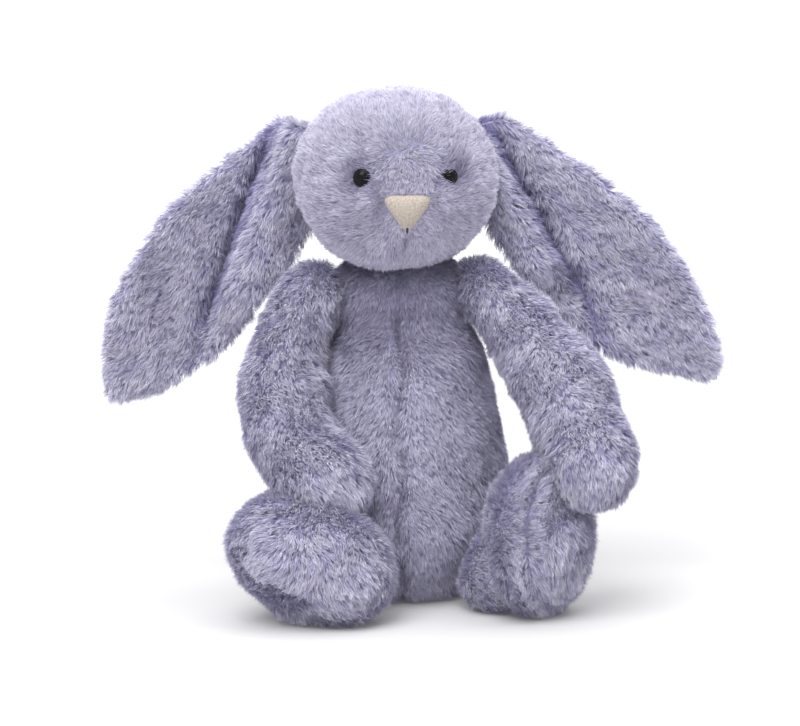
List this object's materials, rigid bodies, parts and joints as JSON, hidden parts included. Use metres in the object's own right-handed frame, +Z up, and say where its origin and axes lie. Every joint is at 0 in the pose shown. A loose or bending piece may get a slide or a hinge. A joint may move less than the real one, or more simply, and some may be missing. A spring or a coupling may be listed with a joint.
{
  "type": "stuffed rabbit",
  "caption": "Sitting plush rabbit with long lop ears, floppy arms and legs, glossy bead eyes and a small triangular nose patch.",
  "frame": {"origin": "middle of the flat seat that the rabbit sits on", "axes": "+Z up through the body, -Y the way that the rabbit faces, +X its own left"},
  "size_m": [0.2532, 0.1506, 0.213],
  "materials": {
    "face_plush": "short plush pile",
    "ear_plush": "long plush pile",
    "body_plush": "plush pile",
    "limb_plush": "long plush pile",
    "tail_plush": "long plush pile",
    "nose_velour": "short napped velour",
    "dark_thread": "embroidery thread",
    "eye_black": "polished",
    "washer_white": "moulded",
    "fibre_fill": "loose polyester fibre",
    "bean_cloth": "woven cotton bag of plastic pellets",
    "label_satin": "blank satin ribbon"
  },
  "bodies": {
    "body": {"belly_panel_left": "body_plush", "belly_panel_right": "body_plush", "back_panel": "body_plush", "seat_panel": "body_plush", "body_stuffing": "fibre_fill", "seat_bean_bag": "bean_cloth", "tail_cover": "tail_plush", "tail_stuffing": "fibre_fill", "care_label": "label_satin"},
    "neck": {"neck_stuffing": "fibre_fill"},
    "head": {"head_gusset": "face_plush", "face_panel_left": "face_plush", "face_panel_right": "face_plush", "head_stuffing": "fibre_fill", "eye_left": "eye_black", "eye_right": "eye_black", "eye_washer_left": "washer_white", "eye_washer_right": "washer_white", "nose_patch": "nose_velour", "mouth_stitch": "dark_thread"},
    "ear_left": {"ear_front_left": "ear_plush", "ear_back_left": "ear_plush"},
    "arm_left": {"arm_cover_left": "limb_plush", "arm_stuffing_left": "fibre_fill"},
    "leg_left": {"leg_cover_left": "limb_plush", "foot_cover_left": "limb_plush", "sole_panel_left": "limb_plush", "leg_stuffing_left": "fibre_fill", "foot_stuffing_left": "fibre_fill", "foot_bean_bag_left": "bean_cloth"},
    "ear_right": {"ear_front_right": "ear_plush", "ear_back_right": "ear_plush"},
    "arm_right": {"arm_cover_right": "limb_plush", "arm_stuffing_right": "fibre_fill"},
    "leg_right": {"leg_cover_right": "limb_plush", "foot_cover_right": "limb_plush", "sole_panel_right": "limb_plush", "leg_stuffing_right": "fibre_fill", "foot_stuffing_right": "fibre_fill", "foot_bean_bag_right": "bean_cloth"}
  },
  "joints": [
    {"name": "neck_turn", "type": "hinge", "parent": "body", "child": "neck", "pos_m": [0, 0, 0.134], "axis": [0, 0, 1], "range_deg": [-7, 7]},
    {"name": "head_nod", "type": "hinge", "parent": "neck", "child": "head", "pos_m": [0, 0, 0.15], "axis": [1, 0, 0], "range_deg": [-4, 14]},
    {"name": "ear_lift_left", "type": "hinge", "parent": "head", "child": "ear_left", "pos_m": [0.038, 0.0155, 0.193], "axis": [0, -1, 0], "range_deg": [0, 120]},
    {"name": "ear_lift_right", "type": "hinge", "parent": "head", "child": "ear_right", "pos_m": [-0.041, 0.0155, 0.193], "axis": [0, 1, 0], "range_deg": [0, 120]},
    {"name": "arm_swing_left", "type": "hinge", "parent": "body", "child": "arm_left", "pos_m": [0.041, -0.008, 0.126], "axis": [-1, 0, 0], "range_deg": [0, 90]},
    {"name": "arm_swing_right", "type": "hinge", "parent": "body", "child": "arm_right", "pos_m": [-0.041, -0.008, 0.126], "axis": [-1, 0, 0], "range_deg": [0, 90]},
    {"name": "leg_swing_left", "type": "hinge", "parent": "body", "child": "leg_left", "pos_m": [0.041, -0.033, 0.026], "axis": [1, 0, 0], "range_deg": [0, 60]},
    {"name": "leg_swing_right", "type": "hinge", "parent": "body", "child": "leg_right", "pos_m": [-0.034, -0.041, 0.026], "axis": [1, 0, 0], "range_deg": [0, 60]}
  ]
}
